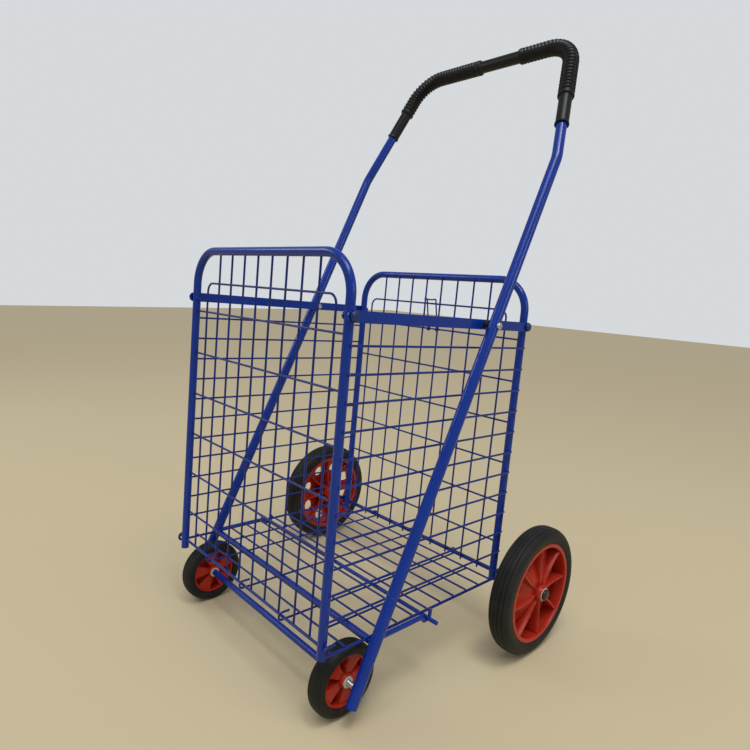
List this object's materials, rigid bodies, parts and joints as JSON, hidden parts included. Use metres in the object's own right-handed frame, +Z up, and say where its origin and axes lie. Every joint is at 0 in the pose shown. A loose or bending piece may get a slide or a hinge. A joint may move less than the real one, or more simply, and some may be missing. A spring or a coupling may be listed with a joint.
{
  "type": "folding shopping cart",
  "caption": "Folding wire shopping cart: basket of wire walls and floor, bent tube push handle with ribbed grip, large rear and small front wheels.",
  "frame": {"origin": "on the ground, at the middle of the cart's outline seen from above", "axes": "+X across the cart to its right, +Y to the rear where the handle leans, +Z up"},
  "size_m": [0.5698, 0.5078, 0.9688],
  "materials": {
    "blue_paint": "glossy deep blue powder coat on steel tube",
    "blue_wire": "glossy deep blue powder coat on welded wire",
    "zinc": "zinc-plated steel",
    "black_plastic": "moulded black plastic",
    "grip": "soft black ribbed plastic with a slight sheen",
    "rubber": "solid black rubber",
    "red_plastic": "moulded red plastic",
    "washer": "pale plastic washer"
  },
  "bodies": {
    "rear_frame": {"rear_wall_tube": "blue_paint", "rear_wall_mesh": "blue_wire", "rear_axle": "blue_paint", "rear_pivot_bolts": "blue_paint", "rear_pivot_caps": "blue_paint", "rear_axle_collars": "zinc", "rear_axle_caps": "black_plastic"},
    "side_arms": {"side_strip_left": "blue_paint", "side_strip_right": "blue_paint", "handle_bushes": "black_plastic"},
    "front_wall": {"front_wall_tube": "blue_paint", "front_wall_mesh": "blue_wire", "front_floor_rod": "blue_paint", "front_pivot_bolts": "blue_paint", "front_pivot_caps": "blue_paint"},
    "floor": {"floor_mesh": "blue_wire", "floor_support_rod": "blue_paint"},
    "push_frame": {"push_tube": "blue_paint", "cross_tube": "blue_paint", "grip_sleeve": "grip", "handle_pivot_screws": "zinc", "catch_arm_left": "blue_paint", "catch_arm_right": "blue_paint", "front_axle": "zinc", "front_axle_spacer": "blue_paint", "front_axle_washers": "washer"},
    "rear_wheel_left": {"rear_tyre_left": "rubber", "rear_rim_left": "red_plastic"},
    "rear_wheel_right": {"rear_tyre_right": "rubber", "rear_rim_right": "red_plastic"},
    "front_wheel_left": {"front_tyre_left": "rubber", "front_rim_left": "red_plastic"},
    "front_wheel_right": {"front_tyre_right": "rubber", "front_rim_right": "red_plastic"},
    "latch": {"wire_latch": "blue_wire"},
    "side_wires_01": {"side_wires_01": "blue_wire"},
    "side_wires_02": {"side_wires_02": "blue_wire"},
    "side_wires_03": {"side_wires_03": "blue_wire"},
    "side_wires_04": {"side_wires_04": "blue_wire"},
    "side_wires_05": {"side_wires_05": "blue_wire"},
    "side_wires_06": {"side_wires_06": "blue_wire"},
    "side_wires_07": {"side_wires_07": "blue_wire"},
    "side_wires_08": {"side_wires_08": "blue_wire"},
    "side_wires_09": {"side_wires_09": "blue_wire"},
    "side_wires_10": {"side_wires_10": "blue_wire"},
    "side_wires_11": {"side_wires_11": "blue_wire"}
  },
  "joints": [
    {"name": "fold", "type": "hinge", "parent": "rear_frame", "child": "side_arms", "pos_m": [0, 0.13079, 0.5031], "axis": [-1, 0, 0], "range_deg": [0, 73]},
    {"name": "front_wall_hinge", "type": "hinge", "parent": "side_arms", "child": "front_wall", "pos_m": [0, -0.22886, 0.5191], "axis": [-1, 0, 0], "range_deg": [-73, 0]},
    {"name": "floor_hinge", "type": "hinge", "parent": "rear_frame", "child": "floor", "pos_m": [0, 0.11286, 0.1], "axis": [-1, 0, 0], "range_deg": [0, 73]},
    {"name": "push_frame_hinge", "type": "hinge", "parent": "side_arms", "child": "push_frame", "pos_m": [0, 0.02099, 0.50799], "axis": [-1, 0, 0], "range_deg": [-73, 0]},
    {"name": "side_wires_01_hinge", "type": "hinge", "parent": "rear_frame", "child": "side_wires_01", "pos_m": [0, 0.12932, 0.47013], "axis": [-1, 0, 0], "range_deg": [0, 73]},
    {"name": "side_wires_02_hinge", "type": "hinge", "parent": "rear_frame", "child": "side_wires_02", "pos_m": [0, 0.12783, 0.43677], "axis": [-1, 0, 0], "range_deg": [0, 73]},
    {"name": "side_wires_03_hinge", "type": "hinge", "parent": "rear_frame", "child": "side_wires_03", "pos_m": [0, 0.12635, 0.4034], "axis": [-1, 0, 0], "range_deg": [0, 73]},
    {"name": "side_wires_04_hinge", "type": "hinge", "parent": "rear_frame", "child": "side_wires_04", "pos_m": [0, 0.12487, 0.37003], "axis": [-1, 0, 0], "range_deg": [0, 73]},
    {"name": "side_wires_05_hinge", "type": "hinge", "parent": "rear_frame", "child": "side_wires_05", "pos_m": [0, 0.12338, 0.33667], "axis": [-1, 0, 0], "range_deg": [0, 73]},
    {"name": "side_wires_06_hinge", "type": "hinge", "parent": "rear_frame", "child": "side_wires_06", "pos_m": [0, 0.1219, 0.3033], "axis": [-1, 0, 0], "range_deg": [0, 73]},
    {"name": "side_wires_07_hinge", "type": "hinge", "parent": "rear_frame", "child": "side_wires_07", "pos_m": [0, 0.12041, 0.26993], "axis": [-1, 0, 0], "range_deg": [0, 73]},
    {"name": "side_wires_08_hinge", "type": "hinge", "parent": "rear_frame", "child": "side_wires_08", "pos_m": [0, 0.11893, 0.23656], "axis": [-1, 0, 0], "range_deg": [0, 73]},
    {"name": "side_wires_09_hinge", "type": "hinge", "parent": "rear_frame", "child": "side_wires_09", "pos_m": [0, 0.11745, 0.2032], "axis": [-1, 0, 0], "range_deg": [0, 73]},
    {"name": "side_wires_10_hinge", "type": "hinge", "parent": "rear_frame", "child": "side_wires_10", "pos_m": [0, 0.11596, 0.16983], "axis": [-1, 0, 0], "range_deg": [0, 73]},
    {"name": "side_wires_11_hinge", "type": "hinge", "parent": "rear_frame", "child": "side_wires_11", "pos_m": [0, 0.11448, 0.13646], "axis": [-1, 0, 0], "range_deg": [0, 73]},
    {"name": "rear_wheel_left_spin", "type": "hinge", "parent": "rear_frame", "child": "rear_wheel_left", "pos_m": [-0.259, 0.11286, 0.1], "axis": [1, 0, 0], "continuous": true},
    {"name": "front_wheel_left_spin", "type": "hinge", "parent": "push_frame", "child": "front_wheel_left", "pos_m": [-0.176, -0.20334, 0.05], "axis": [1, 0, 0], "continuous": true},
    {"name": "rear_wheel_right_spin", "type": "hinge", "parent": "rear_frame", "child": "rear_wheel_right", "pos_m": [0.259, 0.11286, 0.1], "axis": [1, 0, 0], "continuous": true},
    {"name": "front_wheel_right_spin", "type": "hinge", "parent": "push_frame", "child": "front_wheel_right", "pos_m": [0.176, -0.20334, 0.05], "axis": [1, 0, 0], "continuous": true},
    {"name": "latch_swing", "type": "hinge", "parent": "rear_frame", "child": "latch", "pos_m": [0.004, 0.12765, 0.48222], "axis": [1, 0, 0], "range_deg": [-2, 150]}
  ],
  "couplings": [
    {"joint": "front_wall_hinge", "follows": "fold", "ratio": -1},
    {"joint": "floor_hinge", "follows": "fold", "ratio": 1},
    {"joint": "push_frame_hinge", "follows": "fold", "ratio": -1},
    {"joint": "side_wires_01_hinge", "follows": "fold", "ratio": 1},
    {"joint": "side_wires_02_hinge", "follows": "fold", "ratio": 1},
    {"joint": "side_wires_03_hinge", "follows": "fold", "ratio": 1},
    {"joint": "side_wires_04_hinge", "follows": "fold", "ratio": 1},
    {"joint": "side_wires_05_hinge", "follows": "fold", "ratio": 1},
    {"joint": "side_wires_06_hinge", "follows": "fold", "ratio": 1},
    {"joint": "side_wires_07_hinge", "follows": "fold", "ratio": 1},
    {"joint": "side_wires_08_hinge", "follows": "fold", "ratio": 1},
    {"joint": "side_wires_09_hinge", "follows": "fold", "ratio": 1},
    {"joint": "side_wires_10_hinge", "follows": "fold", "ratio": 1},
    {"joint": "side_wires_11_hinge", "follows": "fold", "ratio": 1}
  ]
}
